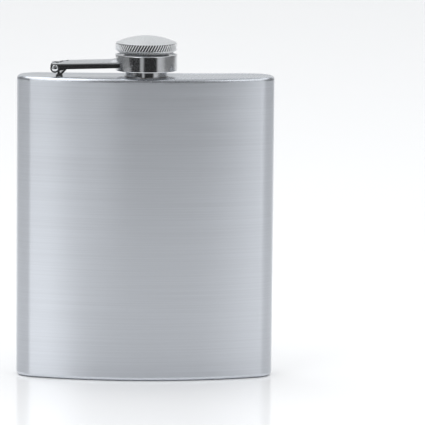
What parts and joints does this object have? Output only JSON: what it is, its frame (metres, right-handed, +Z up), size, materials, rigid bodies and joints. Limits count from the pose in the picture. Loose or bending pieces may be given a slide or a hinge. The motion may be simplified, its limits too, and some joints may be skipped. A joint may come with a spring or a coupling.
{
  "type": "hip flask",
  "caption": "Curved stainless steel hip flask with brushed body, hinged arm and a captive knurled screw cap over a round threaded neck.",
  "frame": {"origin": "middle of the flat base that the flask stands on, below the middle of its outline", "axes": "+Z up through the neck; the bulging front faces -Y, the hollow back faces +Y; the hinge of the cap's arm is on the -X side"},
  "size_m": [0.095, 0.0247, 0.127],
  "materials": {
    "body_steel": "horizontal brushed stainless steel",
    "polished_steel": "polished stainless steel",
    "satin_steel": "satin, bead-blasted, knurled rim",
    "weld": "ground weld bead",
    "seal": "translucent white silicone"
  },
  "bodies": {
    "flask": {"body_wrap": "body_steel", "side_seam": "weld", "top_plate": "body_steel", "base_plate": "body_steel", "neck": "polished_steel", "neck_weld": "weld", "hinge_lug": "polished_steel", "lug_weld": "weld"},
    "arm": {"hinge_pin": "polished_steel", "captive_arm": "polished_steel", "collar": "polished_steel"},
    "keeper": {"keeper_ring": "polished_steel"},
    "cap": {"cap_skirt": "polished_steel", "cap_gasket": "seal", "cap_head": "satin_steel"}
  },
  "joints": [
    {"name": "arm_swing", "type": "hinge", "parent": "flask", "child": "arm", "pos_m": [-0.0335, -0.0013, 0.1152], "axis": [0, -1, 0], "range_deg": [0, 180]},
    {"name": "cap_lift", "type": "slide", "parent": "arm", "child": "keeper", "axis": [0, 0, 1], "range_m": [0, 0.0032]},
    {"name": "cap_spin", "type": "hinge", "parent": "keeper", "child": "cap", "pos_m": [0, -0.0013, 0.12], "axis": [0, 0, 1], "range_deg": [0, 720]}
  ],
  "couplings": [
    {"joint": "cap_lift", "follows": "cap_spin", "m_per_rad": 0.00025465}
  ]
}
